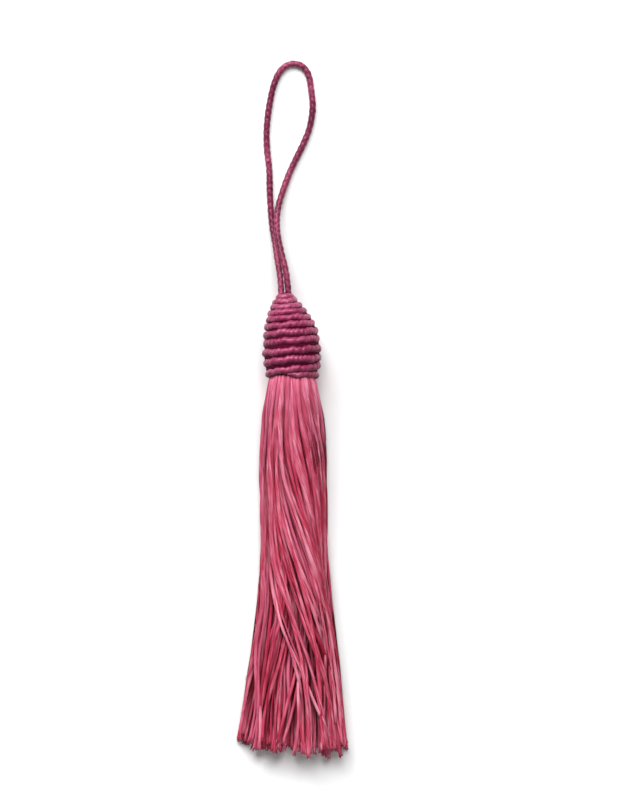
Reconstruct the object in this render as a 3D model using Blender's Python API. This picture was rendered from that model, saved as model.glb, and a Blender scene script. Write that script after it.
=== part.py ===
"""A hanging tassel lying on its back: a cord-wound head, a skirt of yarn locks and a twisted hanging loop.

+Y runs up the tassel, from the cut ends of its skirt to its loop. +Z is up from the surface that it lies on.
The origin is on that surface, under the middle of the head and skirt together. Tables are in millimetres, and
everything else is in metres.
"""
import math
import random
from collections import namedtuple

import bmesh
import bpy
import numpy as np
from mathutils import Vector

MM = 0.001
SEED = 7
GAP = 0.3 * MM  # between two pieces that meet

BODY_LENGTH = 118.0 * MM  # head and skirt together
AXIS_HEIGHT = 7.3 * MM  # of the head's middle, so that its widest turns are pressed flat on the surface

# The head: twisted cord wound from the skirt up to the crown.
HEAD_LENGTH = 21.2 * MM
FIRST_PITCH = 2.1 * MM  # between two turns beside the skirt, where they lie apart
LAST_PITCH = 1.5 * MM  # and at the crown, where they touch
GROOVE_DEPTH = 0.45 * MM
TURN_TILT = 0.5 * MM  # how far a turn at the head's middle rises from its axis to its right side
HEAD_SIDES = 32
# Rows of points on one turn: how far through the turn, and how deep the groove is there.
TurnRow = namedtuple("TurnRow", "phase depth")
TURN_ROWS = (TurnRow(0.0, 1.0), TurnRow(0.24, 0.25), TurnRow(0.5, 0.0), TurnRow(0.76, 0.25))
# The head over its turns: distance up from the skirt, half width, and its middle's shift to the right.
HeadSection = namedtuple("HeadSection", "up half_width shift")
HEAD_SECTIONS = (
    HeadSection(0.0, 6.55, 0.1),
    HeadSection(1.0, 6.9, 0.05),
    HeadSection(2.5, 7.25, 0.0),
    HeadSection(5.3, 7.65, 0.0),
    HeadSection(8.4, 7.5, -0.05),
    HeadSection(11.2, 7.15, -0.15),
    HeadSection(13.2, 6.65, -0.35),
    HeadSection(15.2, 5.85, -0.75),
    HeadSection(17.3, 4.75, -1.15),
    HeadSection(19.2, 3.5, -1.5),
    HeadSection(20.6, 2.4, -1.75),
    HeadSection(21.2, 2.0, -1.8),
)

# The skirt: a bound neck with the yarns drawn out of it in locks.
NECK_BAND = 1.0 * MM  # of bound yarn that shows between the head and the first parting of the locks
LOCKS_ACROSS = 20
LOCK_LAYERS = 11
LOCK_PARTING = 0.01  # half the gap between locks, as a share of half the skirt's width
END_ARC_LEFT = 4.8 * MM  # how much shorter the cut ends are at the left edge than in the middle
END_ARC_RIGHT = 2.6 * MM
UNDERSIDE_CUT = 3.0 * MM  # how much shorter the lowest layer is than the top one
END_RAGGED = 0.8 * MM  # the most that a lock is cut long or short by chance
SWEEP = 0.3  # how far the top layer is drawn over to the right, as a share of half the width
SWEEP_MIDDLE = 62.0 * MM  # how far down it is drawn over the most
CLUMPING = 0.045  # how far locks are drawn together in clumps, as a share of half the width
CLUMP_WAVE = Vector((10.0, 4.0, 45.0))  # how fast that comes and goes across, through the layers and down
LOCK_STATIONS = (8.0 * MM, 20.0 * MM, 42.0 * MM, 70.0 * MM)  # down from the neck, where the locks bend
# Its outline: distance down, left and right edges, underside and top heights, and how far the section has
# gone from the round neck (0) to layers lying flat (1).
SkirtSection = namedtuple("SkirtSection", "down left right underside top flatness")
SKIRT_SECTIONS = (
    SkirtSection(-1.0, -6.1, 6.4, 0.95, 13.65, 0.0),
    SkirtSection(0.0, -6.2, 6.5, 0.9, 13.6, 0.0),
    SkirtSection(8.0, -7.6, 7.9, 0.0, 12.5, 0.7),
    SkirtSection(20.0, -8.2, 8.6, 0.0, 11.1, 1.0),
    SkirtSection(42.0, -8.0, 9.0, 0.0, 9.8, 1.0),
    SkirtSection(56.0, -8.8, 10.2, 0.0, 9.1, 1.0),
    SkirtSection(70.0, -10.4, 11.8, 0.0, 8.5, 1.0),
    SkirtSection(91.0, -13.7, 13.7, 0.0, 7.6, 1.0),
    SkirtSection(96.0, -14.2, 14.0, 0.0, 7.4, 1.0),
)
SHOULDER_DROP = 0.72  # how much lower the flat section's top is at its edges, as a share of its height
TOP_NARROWING = 0.08  # how much narrower its top layer is than its lowest

# The hanging loop: two plies of cord twisted together, with both ends in the crown.
CORD_DIAMETER = 1.5 * MM
CORD_WAIST = 0.66  # the cord's thickness between its two plies, as a share of its diameter
CORD_SIDES = 6
CORD_TWIST = 4.0 * MM  # length of one full turn of the plies
STEPS_PER_TWIST = 8
# Its route: across, along and up, from the crown round the loop and back to the crown.
RoutePoint = namedtuple("RoutePoint", "x y z")
LOOP_ROUTE = (
    RoutePoint(-2.72, 59.3, 7.3),
    RoutePoint(-3.0, 63.4, 6.75),
    RoutePoint(-3.6, 67.2, 5.3),
    RoutePoint(-4.25, 71.6, 3.3),
    RoutePoint(-4.95, 75.9, 1.75),
    RoutePoint(-5.45, 80.5, 1.0),
    RoutePoint(-5.7, 85.5, 0.78),
    RoutePoint(-5.85, 91.0, 0.78),
    RoutePoint(-6.4, 96.2, 0.78),
    RoutePoint(-6.5, 101.5, 0.78),
    RoutePoint(-5.85, 107.1, 0.78),
    RoutePoint(-4.8, 112.2, 0.78),
    RoutePoint(-3.35, 115.7, 0.78),
    RoutePoint(-1.4, 117.6, 0.78),
    RoutePoint(0.8, 118.05, 0.78),
    RoutePoint(2.9, 117.15, 0.78),
    RoutePoint(4.25, 114.9, 0.78),
    RoutePoint(4.85, 111.4, 0.78),
    RoutePoint(5.25, 107.6, 0.78),
    RoutePoint(5.0, 104.4, 0.78),
    RoutePoint(4.3, 101.3, 0.78),
    RoutePoint(3.0, 97.9, 0.78),
    RoutePoint(1.05, 93.9, 0.78),
    RoutePoint(-0.75, 90.0, 0.85),
    RoutePoint(-2.2, 86.0, 1.1),
    RoutePoint(-3.3, 82.4, 1.75),
    RoutePoint(-3.85, 79.0, 2.75),
    RoutePoint(-3.75, 74.9, 3.95),
    RoutePoint(-2.8, 69.8, 5.6),
    RoutePoint(-1.6, 65.2, 7.0),
    RoutePoint(-0.9, 59.3, 7.3),
)

PLUM = (0.30, 0.03, 0.10)
DARK_PLUM = (0.25, 0.035, 0.10)
ROSE = (0.56, 0.07, 0.14)

CROWN_Y = BODY_LENGTH / 2
HEAD_BASE_Y = CROWN_Y - HEAD_LENGTH
PARTING_Y = HEAD_BASE_Y - GAP - NECK_BAND  # where the locks leave the bound neck
LOCK_LENGTH = PARTING_Y + BODY_LENGTH / 2 - 0.7 * END_RAGGED  # before a lock is cut long or short by chance
PITCH_SHRINK = (FIRST_PITCH - LAST_PITCH) / HEAD_LENGTH
TURNS = math.log(FIRST_PITCH / LAST_PITCH) / PITCH_SHRINK


def clear_scene():
    for thing in list(bpy.data.objects):
        bpy.data.objects.remove(thing, do_unlink=True)


def make_collection(name):
    collection = bpy.data.collections.new(name)
    bpy.context.scene.collection.children.link(collection)
    return collection


def make_material(name, colour, roughness):
    material = bpy.data.materials.new(name)
    material.use_nodes = True
    shader = material.node_tree.nodes["Principled BSDF"]
    shader.inputs["Base Color"].default_value = (*colour, 1.0)
    shader.inputs["Roughness"].default_value = roughness
    shader.inputs["Metallic"].default_value = 0.0
    return material


def column(table, key, value, wanted):
    """The wanted column of a millimetre table, where its key column is at a value in metres."""
    keys = [getattr(row, key) * MM for row in table]
    return float(np.interp(value, keys, [getattr(row, wanted) for row in table]))


def mesh_object(name, bm, material, collection):
    bmesh.ops.recalc_face_normals(bm, faces=bm.faces[:])
    mesh = bpy.data.meshes.new(name)
    bm.to_mesh(mesh)
    bm.free()
    mesh.materials.append(material)
    thing = bpy.data.objects.new(name, mesh)
    collection.objects.link(thing)
    return thing


def wound_up_to(turn):
    """How far up the head the winding has come after so many turns."""
    return FIRST_PITCH / PITCH_SHRINK * (1 - math.exp(-PITCH_SHRINK * turn))


def head_point(turn, side):
    """A point of the wound surface: side runs from 0 to 1, over the top from left to right and back under."""
    turn = min(max(turn, 0.0), TURNS)
    up = wound_up_to(turn)
    phases = [row.phase for row in TURN_ROWS] + [1.0]
    depths = [row.depth for row in TURN_ROWS] + [TURN_ROWS[0].depth]
    groove = GROOVE_DEPTH * float(np.interp((turn - side) % 1.0, phases, depths))
    radius = column(HEAD_SECTIONS, "up", up, "half_width") * MM - groove
    right = -radius * math.cos(2 * math.pi * side)
    share = up / HEAD_LENGTH
    tilt = TURN_TILT * 4 * share * (1 - share) * right / radius
    return Vector((
        right + column(HEAD_SECTIONS, "up", up, "shift") * MM,
        HEAD_BASE_Y + up + tilt,
        max(AXIS_HEIGHT + radius * math.sin(2 * math.pi * side), 0.0),
    ))


def make_head(material, collection):
    """Rows of points that climb with the winding as a screw's thread does, up to a flat crown."""
    bm = bmesh.new()
    rows = []
    for turn in range(-1, math.ceil(TURNS) + 1):
        for row in TURN_ROWS:
            sides = [side / HEAD_SIDES for side in range(HEAD_SIDES)]
            rows.append([bm.verts.new(head_point(turn + row.phase + side, side)) for side in sides])
    step = len(TURN_ROWS)
    for low in range(len(rows) - step - 1):
        high = low + 1
        lower = rows[low] + [rows[low + step][0]]
        upper = rows[high] + [rows[high + step][0]]
        for side in range(HEAD_SIDES):
            bm.faces.new((lower[side], lower[side + 1], upper[side + 1], upper[side]))
    bmesh.ops.remove_doubles(bm, verts=bm.verts[:], dist=0.005 * MM)
    bmesh.ops.delete(bm, geom=[vert for vert in bm.verts if not vert.link_faces], context="VERTS")
    bmesh.ops.holes_fill(bm, edges=[edge for edge in bm.edges if edge.is_boundary], sides=0)
    head = mesh_object("head", bm, material, collection)
    head.data.shade_smooth()
    return head


def skirt_point(across, layer, down):
    """A point of the skirt, across and layer running from -1 to 1 over its section and down from the neck."""
    left, right, underside, top, flatness = (
        column(SKIRT_SECTIONS, "down", down, wanted)
        for wanted in ("left", "right", "underside", "top", "flatness")
    )
    edge = 1 - LOCK_PARTING  # where the outermost locks end, so that the lowest layer lies on the surface
    drawn = SWEEP * layer * math.exp(-(((down - SWEEP_MIDDLE) / (SWEEP_MIDDLE / 2)) ** 2))
    clump = CLUMPING * math.sin(CLUMP_WAVE.dot((across, layer, down)))
    swept = across + (drawn + clump) * (1 - across * across) * flatness
    rise = (layer + edge) / (2 * edge)
    shoulder = 1 - SHOULDER_DROP * abs(swept) ** 3
    flat_x = swept * (1 - TOP_NARROWING * rise)
    flat_z = 2 * rise * shoulder - 1
    round_x = swept * math.sqrt(1 - layer * layer / 2)
    round_z = layer * math.sqrt(1 - swept * swept / 2)
    x = round_x + (flat_x - round_x) * flatness
    z = round_z + (flat_z - round_z) * flatness
    return Vector((
        ((left + right) / 2 + x * (right - left) / 2) * MM,
        PARTING_Y - down,
        ((underside + top) / 2 + z * (top - underside) / 2) * MM,
    ))


def lock_end(across, layer, chance):
    """How far down a lock is cut: along an arc, higher at the underside, and a little ragged."""
    arc = END_ARC_LEFT if across < 0 else END_ARC_RIGHT
    ragged = chance.uniform(-END_RAGGED, END_RAGGED)
    return LOCK_LENGTH - arc * across ** 2 - UNDERSIDE_CUT * (1 - layer) / 2 + ragged


def make_skirt(material, collection):
    """Locks drawn straight out of a parted square, which is then bent as a whole to the skirt's own form."""
    chance = random.Random(SEED)
    bm = bmesh.new()
    bmesh.ops.create_grid(bm, x_segments=LOCKS_ACROSS, y_segments=LOCK_LAYERS, size=1)
    rim = [edge for edge in bm.edges if edge.is_boundary]
    band = bmesh.ops.extrude_edge_only(bm, edges=rim)["geom"]
    band_verts = [part for part in band if isinstance(part, bmesh.types.BMVert)]
    bmesh.ops.translate(bm, verts=band_verts, vec=(0, 0, NECK_BAND))
    bmesh.ops.holes_fill(bm, edges=[edge for edge in bm.edges if edge.is_boundary], sides=0)
    locks = [face for face in bm.faces if all(vert.co.z == 0 for vert in face.verts)]
    bmesh.ops.inset_individual(bm, faces=locks, thickness=LOCK_PARTING, use_even_offset=True)
    for station in (*LOCK_STATIONS, None):
        locks = bmesh.ops.extrude_discrete_faces(bm, faces=locks)["faces"]
        for lock in locks:
            middle = lock.calc_center_median()
            down = station or lock_end(middle.x, middle.y, chance)
            for vert in lock.verts:
                vert.co.z = -down
    for vert in bm.verts:
        vert.co = skirt_point(vert.co.x, vert.co.y, -vert.co.z)
    return mesh_object("skirt", bm, material, collection)


def smooth_route(points, step):
    """Points about a step apart on a smooth curve through the given ones."""
    ends = [2 * points[0] - points[1], *points, 2 * points[-1] - points[-2]]
    fine = []
    for before, start, end, after in zip(ends, ends[1:], ends[2:], ends[3:]):
        for share in np.linspace(0, 1, 40, endpoint=False):
            fine.append(0.5 * (
                2 * start
                + (end - before) * share
                + (2 * before - 5 * start + 4 * end - after) * share ** 2
                + (3 * start - before - 3 * end + after) * share ** 3
            ))
    fine.append(points[-1])
    travelled = [0.0]
    for start, end in zip(fine, fine[1:]):
        travelled.append(travelled[-1] + (end - start).length)
    count = round(travelled[-1] / step) + 1
    wanted = np.linspace(0, travelled[-1], count)
    axes = [np.interp(wanted, travelled, [point[axis] for point in fine]) for axis in range(3)]
    return [Vector(point) for point in zip(*axes)]


def poly_curve(name, points, closed, collection):
    curve = bpy.data.curves.new(name, "CURVE")
    curve.dimensions = "3D"
    spline = curve.splines.new("POLY")
    spline.points.add(len(points) - 1)
    for knot, point in zip(spline.points, points):
        knot.co = (*point, 1.0)
    spline.use_cyclic_u = closed
    thing = bpy.data.objects.new(name, curve)
    collection.objects.link(thing)
    return thing


def make_ply_section(collection):
    """The cord's section: as wide as the cord across its two plies, and drawn in between them."""
    points = []
    for side in range(CORD_SIDES):
        angle = -2 * math.pi * side / CORD_SIDES
        across = CORD_DIAMETER / 2 * math.cos(angle)
        waist = CORD_DIAMETER / 2 * CORD_WAIST * math.sin(angle) / math.sin(math.pi / 3)
        points.append(Vector((across, waist, 0)))
    section = poly_curve("cord_section", points, True, collection)
    section.hide_render = True
    section.display_type = "WIRE"
    return section


def make_hanging_loop(material, collection, cutters):
    route = [Vector(point) * MM for point in LOOP_ROUTE]
    step = CORD_TWIST / STEPS_PER_TWIST
    loop = poly_curve("hanging_loop", smooth_route(route, step), False, collection)
    for index, knot in enumerate(loop.data.splines[0].points):
        knot.tilt = 2 * math.pi * index / STEPS_PER_TWIST
    loop.data.twist_mode = "MINIMUM"
    loop.data.bevel_mode = "OBJECT"
    loop.data.bevel_object = make_ply_section(cutters)
    loop.data.use_fill_caps = True
    loop.data.materials.append(material)
    return loop


def main():
    clear_scene()
    tassel = make_collection("tassel")
    cutters = make_collection("cutters")
    make_head(make_material("wound_cord", PLUM, 0.6), tassel)
    make_skirt(make_material("rayon_yarn", ROSE, 0.5), tassel)
    make_hanging_loop(make_material("loop_cord", DARK_PLUM, 0.6), tassel, cutters)


main()
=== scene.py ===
"""Looks of the hanging tassel: a head wound with plied cord, a skirt of rayon yarns and a plied cord loop.

Lengths are in millimetres and turned into metres as each mesh is made. Colours are in linear light. In the
skirt, across is a share of half its width, from -1 at the left edge to 1 at the right one, and down is the
distance from the binding under the head.
"""
import math
from collections import namedtuple

import bpy
import numpy as np
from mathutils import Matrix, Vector


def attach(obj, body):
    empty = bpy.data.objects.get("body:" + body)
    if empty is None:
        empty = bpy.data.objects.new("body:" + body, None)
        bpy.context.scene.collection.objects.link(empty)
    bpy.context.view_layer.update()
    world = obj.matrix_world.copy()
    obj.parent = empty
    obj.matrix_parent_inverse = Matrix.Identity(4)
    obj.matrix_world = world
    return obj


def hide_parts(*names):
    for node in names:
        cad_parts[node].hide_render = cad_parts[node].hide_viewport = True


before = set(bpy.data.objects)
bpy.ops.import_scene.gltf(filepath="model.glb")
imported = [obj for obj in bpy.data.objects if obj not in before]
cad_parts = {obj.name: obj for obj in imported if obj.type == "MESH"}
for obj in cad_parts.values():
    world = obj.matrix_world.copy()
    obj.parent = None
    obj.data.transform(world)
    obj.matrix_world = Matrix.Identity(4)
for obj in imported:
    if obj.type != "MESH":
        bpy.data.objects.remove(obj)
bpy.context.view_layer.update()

MM = 0.001
SEED = 11
GOLDEN_ANGLE = math.pi * (3 - math.sqrt(5))

# What the camera takes in.
FRAME_MIDDLE = (7.11, 32.2)
FRAME_HEIGHT = 203.2
FRAME_LEVEL = 6.0  # height above the floor at which the frame has that size
CAMERA_DISTANCE = 1000.0
SENSOR = 36.0

# The studio, in metres and watts.
FLOOR_REACH = 1.6  # from the middle of the floor to its edges
FLOOR_GREY = 0.86
WALL_GREY = 0.74
CEILING_GREY = 0.08
AIM = (0, 0.02, 0)  # what the lights face
STUDIO_LIGHTS = (  # name, place, size and power
    ("key", (-0.8, 1.55, 1.25), 1.0, 39.5),
    ("overhead", (0.1, 1.25, 1.85), 1.2, 45.0),
    ("fill", (0.5, -1.3, 1.5), 1.2, 8.0),
)

# Yarn: its painted shade colour where it lies deep between yarns, its dark, middling and light fibres, and
# the pale colour of faded yarns and of painted sheen.
YarnColours = namedtuple("YarnColours", "deep dark mid light pale", defaults=(None,))
SKIRT_COLOURS = YarnColours(
    deep=(0.078, 0.001, 0.003),
    dark=(0.285, 0.004, 0.024),
    mid=(0.492, 0.055, 0.106),
    light=(0.735, 0.262, 0.362),
    pale=(0.72, 0.225, 0.375),
)
WOUND_COLOURS = YarnColours(
    deep=(0.05, 0.001, 0.010),
    dark=(0.095, 0.002, 0.021),
    mid=(0.262, 0.023, 0.083),
    light=(0.38, 0.095, 0.18),
)
LOOP_COLOURS = YarnColours(
    deep=(0.03, 0.001, 0.006),
    dark=(0.055, 0.002, 0.015),
    mid=(0.13, 0.0105, 0.0385),
    light=(0.335, 0.064, 0.134),
)
# The core's colours: darker than the wound cord's, painted shade for the lower layer between the turns.
CORE_SHADED_COLOURS = YarnColours(
    deep=(0.03, 0.001, 0.006),
    dark=(0.05, 0.001, 0.013),
    mid=(0.12, 0.005, 0.034),
    light=(0.19, 0.014, 0.055),
)
SHEEN_TINT = (1.0, 0.38, 0.52)  # of the gloss on dyed fibre
FIBRE_CONTRAST = 0.9
MOTTLE_CONTRAST = 0.45  # of the slow changes along a yarn
TONE_CONTRAST = 0.45  # between yarns
MOTTLE_LENGTH = 8.0
FIBRE_TONE_STEP = 41.0  # how far apart in their noise yarns lie whose tones differ by 1
MOTTLE_TONE_STEP = 97.0
CREST_MEAN = 0.6  # mean of the painted light along the plies' crests, over the whole cord
FIBRE_GLOSS = 0.25  # how much smoother light fibres are than dark ones
BURIED_ROUGHNESS = 0.45  # how much rougher a yarn is where it lies deep

# The head.
CROWN_Y = 59.0
HEAD_LENGTH = 21.2
HEAD_BASE_Y = CROWN_Y - HEAD_LENGTH
AXIS_HEIGHT = 7.3
# Its outline, and how thick the cord wound there is, as a share of its full thickness.
HeadSection = namedtuple("HeadSection", "up half_width shift cord")
HEAD_SECTIONS = tuple(HeadSection(*row) for row in (
    (0.0, 6.55, 0.1, 0.95),
    (1.0, 6.9, 0.05, 1.0),
    (2.5, 7.25, 0.0, 1.13),
    (5.3, 7.65, 0.0, 1.17),
    (8.4, 7.5, -0.05, 1.16),
    (11.2, 7.15, -0.15, 1.07),
    (13.2, 6.65, -0.35, 1.0),
    (15.2, 5.85, -0.75, 0.98),
    (17.3, 4.75, -1.15, 0.97),
    (19.2, 3.5, -1.5, 0.95),
    (20.6, 2.4, -1.75, 0.95),
    (21.2, 2.0, -1.8, 0.95),
))
# The winding: turns from the left side over the top, and how far up the head the cord has come.
WINDING = (
    (0.22, 0.85), (0.5, 0.82), (0.75, 0.8), (1.0, 1.0), (1.25, 2.15),
    (1.5, 3.1), (2.0, 3.8), (2.25, 4.6), (2.5, 5.2), (3.0, 6.2),
    (3.25, 6.8), (3.5, 7.6), (4.0, 8.5), (4.25, 9.4), (4.5, 9.95),
    (5.0, 10.7), (5.25, 11.5), (5.5, 12.0), (6.0, 12.8), (6.25, 13.45),
    (6.5, 13.85), (7.25, 15.1), (8.25, 16.6), (9.25, 18.05), (10.25, 19.4),
    (11.25, 20.6), (11.9, 20.9),
)
WOUND_RADIUS = 0.93
WOUND_PRESSED = 0.75  # share of it that is left where the head rests on the floor
WOUND_TWIST = 2.8  # length of one turn of its plies
WOUND_PLY_OFFSET = 0.14  # of a ply's middle from the cord's, as a share of its radius
WOUND_WANDER = 0.15  # how far its turns stray up and down the head
WOUND_SINK = 0.03  # how far it lies inside the head's outline
WOUND_UNEVEN = 0.07  # and how much that changes
WOUND_LOWEST = 0.6  # how far up the head its lowest turn lies
WOUND_STEP = 0.2  # between two rings of its mesh
TAIL_LENGTH = 2.5  # over which its first end grows thick
TAIL_THICKNESS = 0.55
CORD_SIDES = 16
CORE_INSET = 0.62  # of the core that shows between the turns
CORE_CROWN_INSET = 0.3  # how much more that is in the head's upper part
CORE_RINGS = 60
CORE_SIDES = 48
# The core's tone lies near the dark end of its colours, for painted shade.
CORE_TONE = 0.1

# The hanging loop.
CORD_DIAMETER = 1.5
CORD_CREST = 1.12  # how far its crests stand out, as a share of half its diameter
CORD_TWIST = 3.3
CORD_PLY_OFFSET = 0.12
CORD_STEP = 0.14
LOOP_LEG_DEPTH = 2.0  # how far each leg goes on into the crown
LYING = 0.78  # height of its middle where it lies on the floor
LOOP_ROUTE = (
    (-2.72, 59.3, 7.3), (-3.0, 63.4, 6.75), (-3.6, 67.2, 5.3),
    (-4.25, 71.6, 3.3), (-4.95, 75.9, 1.75), (-5.45, 80.5, 1.0),
    (-5.7, 85.5, LYING), (-5.85, 91.0, LYING), (-6.4, 96.2, LYING),
    (-6.5, 101.5, LYING), (-5.85, 107.1, LYING), (-4.8, 112.2, LYING),
    (-3.35, 115.7, LYING), (-1.4, 117.6, LYING), (0.8, 118.05, LYING),
    (2.9, 117.15, LYING), (4.25, 114.9, LYING), (4.85, 111.4, LYING),
    (5.25, 107.6, LYING), (5.0, 104.4, LYING), (4.3, 101.3, LYING),
    (3.0, 97.9, LYING), (1.05, 93.9, LYING), (-0.75, 90.0, 0.85),
    (-2.2, 86.0, 1.1), (-3.3, 82.4, 1.75), (-3.85, 79.0, 2.75),
    (-3.75, 74.9, 3.95), (-2.8, 69.8, 5.6), (-1.6, 65.2, 7.0),
    (-0.9, 59.3, 7.3),
)

# The skirt.
PARTING_Y = 36.5  # where down is 0
SKIRT_LENGTH = 95.0
END_ARC_LEFT = 3.5  # how much shorter the cut ends are at the left edge than in the middle
END_ARC_RIGHT = 3.7
UNDERSIDE_CUT = 3.0  # how much shorter the lowest yarns are than the top ones
# Its outline, and how far the section has gone from the round neck (0) to yarns lying flat (1).
SkirtSection = namedtuple("SkirtSection", "down left right underside top flatness")
SKIRT_SECTIONS = tuple(SkirtSection(*row) for row in (
    (-2.8, -5.1, 5.3, 2.1, 12.5, 0.0),
    (-1.6, -5.6, 5.8, 1.5, 13.1, 0.0),
    (-0.6, -6.1, 6.4, 0.95, 13.6, 0.0),
    (1.0, -6.4, 6.7, 0.8, 13.5, 0.0),
    (8.0, -7.6, 7.9, 0.0, 12.5, 0.7),
    (20.0, -8.2, 8.6, 0.0, 11.1, 1.0),
    (42.0, -8.0, 9.0, 0.0, 9.8, 1.0),
    (56.0, -8.8, 10.2, 0.0, 9.1, 1.0),
    (70.0, -10.4, 11.8, 0.0, 8.5, 1.0),
    (91.0, -13.7, 13.7, 0.0, 7.6, 1.0),
    (99.0, -14.6, 14.2, 0.0, 7.3, 1.0),
))
NECK_HALF_WIDTH = 6.5
SHOULDER_HALF_WIDTH = 8.0  # of the skirt below its neck
SHOULDER_DROP = 0.72  # how much lower the flat section's top is at its edges, as a share of its height

# Its yarns, which keep together in small locks.
THREADS = 330
LOCKS = 200
THREAD_RADIUS = 0.345  # of a round yarn of the same size
RIBBON_ASPECT = 1.7  # how much wider than thick the soft yarns lie
HOME_JITTER = 0.032  # of the yarns' places in the bound neck, as a share of its radius
HOME_REACH = 0.985  # the furthest that they lie from its middle
NECK_LIFT = 0.28  # how unevenly the yarns lie there
THREAD_SIDES = 10
THREAD_RINGS = 72
STATIONS = 70  # where the yarns' lines are worked out
EDGE_FROM = 0.9  # share of the skirt's half width past which a yarn is held back
EDGE_GIVE = 0.12  # how much further it gets at most
NECK_SWELLING = 0.45  # how much thicker yarns are under the binding
END_SWELLING = 0.16  # and at their cut ends
TURNING_SHARE = 0.45  # of the yarns, those that turn on their edge

# The combed sheet: locks on the skirt's top that are drawn over to the right, each from its own height on.
COMBED_RISE = 0.5  # how high they lie, as a share of the skirt's height, or higher
COMBED_LEFT = -0.8  # where across they come from
COMBED_RIGHT = 0.55
COMBED_SHARE = 0.88  # of all locks there
COMBED_START = 5.0  # how far down the rightmost ones turn off
COMBED_LATER = 15.0  # how much later per half width to the left
COMBED_LEFT_LATER = 24.0  # how much later still at the left edge
COMBED_RUN = 0.44  # how steeply they run, in half widths over 10 mm
COMBED_STRAYING = 0.6  # how much they wander, compared with the others
STRAY_SHARE = 0.4  # of the others, those that cross to the left near the ends

# How neighbouring yarns draw together in clumps: how far down a yarn's place tells its clump, the clumps'
# width and slant, how strongly combed yarns and the others are drawn, and how far down this starts and fades.
Clumps = namedtuple("Clumps", "at width slant combed others start full fades ended", defaults=(1000, 1001))
CLUMPS = (
    Clumps(12.0, 2.0, 0.0, 0.75, 0.75, 2.5, 11, 20, 38),
    Clumps(48.0, 2.3, 0.38, 0.7, 0.0, 18, 36, 60, 80),
    Clumps(84.0, 3.1, 0.0, 0.8075, 0.95, 44, 80),
    Clumps(90.0, 6.4, 0.0, 0.32, 0.32, 44, 80),
)

# The heap that the yarns are laid on.
CELL = 0.08  # width of one of its cells
HEAP_LEFT = -22.0
SLIDE = 0.3  # the furthest that a yarn slips sideways into a hollow
SLIDE_SOFTNESS = 0.12  # difference in height that draws it there
LAID_HEIGHT = 1.08  # how thick a yarn counts while it finds its place
LAID_SHARE = 0.92  # of its section that it takes up for those laid over it
BRIDGING = 26  # passes that smooth a yarn's height, so that it bridges short hollows
SINK = 0.6  # how far it may then lie in the heap, as a share of half its thickness
SETTLE_REACH = 1.1  # how far across the heap's top is smoothed before it settles
SETTLE_FILL = 0.9  # share of the skirt's height that the smoothed top comes to
PRESSED_FROM = 0.3  # height over that top from which yarns are pressed down
PRESSED_AT_EDGE = 0.7  # how much more of it there is at the skirt's edges
PRESSED_RISE = 0.4  # how much higher the highest may lie
# Painted shade: yarns are painted darker where they lie deep between others, and towards the skirt's edges.
SHADE_REACH = 1.3  # how far to each side yarns shade one that lies lower
SHADE_FROM = -0.3  # how deep among them its shade sets in
SHADE_DEPTH = 1.1  # and how much deeper it is full
EDGE_SHADE = 0.2  # how much darker the skirt is at its edges

# The fibres that spread at the cut ends, and those that stand off the skirt.
FRAY_FIBRES = 5  # of every yarn
FRAY_RADIUS = 0.15
FRAY_LENGTH = 2.4
FRAY_PAST = 0.3  # how far they pass the yarn's own end
FRAY_RINGS = 6
LOOSE_FIBRES = 60
LOOSE_FIBRE_RADIUS = 0.055
LOOSE_FIBRE_RINGS = 16
FIBRE_SIDES = 6


# ---- helpers
def table_column(table, key, at, wanted):
    """One column of a table, read between its rows where another column has the values at."""
    return np.interp(at, [getattr(row, key) for row in table], [getattr(row, wanted) for row in table])


def smoothstep(value, start, end):
    share = np.clip((value - start) / (end - start), 0, 1)
    return share * share * (3 - 2 * share)


def soft_ramp(value, start, end, ease):
    """Runs evenly from 0 at the start to 1 at the end, with rounded corners."""
    def soft(at):
        return np.logaddexp(0, (value - at) / ease)

    return (soft(start) - soft(end)) * ease / (end - start)


def catmull_rom(points, per_span):
    """Points on a smooth curve through the given ones."""
    points = np.asarray(points, float)
    ends = np.vstack([2 * points[0] - points[1], points, 2 * points[-1] - points[-2]])
    share = np.linspace(0, 1, per_span, endpoint=False)[None, :, None]
    before, start, end, after = (ends[k:len(ends) - 3 + k, None, :] for k in range(4))
    fine = 0.5 * (
        2 * start
        + (end - before) * share
        + (2 * before - 5 * start + 4 * end - after) * share ** 2
        + (3 * start - before - 3 * end + after) * share ** 3
    )
    return np.vstack([fine.reshape(-1, points.shape[1]), points[-1]])


def lengths_along(points):
    """How far along each line its points lie."""
    steps = np.linalg.norm(np.diff(points, axis=-2), axis=-1)
    return np.concatenate([np.zeros((*steps.shape[:-1], 1)), np.cumsum(steps, axis=-1)], axis=-1)


def evenly(points, step):
    """The same line with its points about a step apart."""
    gone = lengths_along(points)
    wanted = np.linspace(0, gone[-1], round(gone[-1] / step) + 1)
    return np.stack([np.interp(wanted, gone, points[:, axis]) for axis in range(points.shape[1])], axis=1)


def wander(rng, along, wavelengths, count=None):
    """A smooth random curve about 1 high, or that many curves, as a sum of waves."""
    shape = (1 if count is None else count, len(wavelengths), 1)
    phase = rng.uniform(0, 2 * math.pi, shape)
    scale = rng.uniform(0.6, 1.4, shape)
    waves = np.sin(2 * math.pi * along / (np.array(wavelengths)[:, None] * scale) + phase)
    total = waves.sum(axis=1) / math.sqrt(len(wavelengths))
    return total[0] if count is None else total


def blurred(values, times):
    """Values smoothed along their first axis that many times."""
    for _ in range(times):
        padded = np.concatenate([values[:1], values, values[-1:]])
        values = (padded[:-2] + 2 * values + padded[2:]) / 4
    return values


def unit(vectors):
    return vectors / np.maximum(np.linalg.norm(vectors, axis=-1, keepdims=True), 1e-12)


def add_object(name, data):
    thing = bpy.data.objects.new(name, data)
    bpy.context.scene.collection.objects.link(thing)
    return thing


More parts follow.
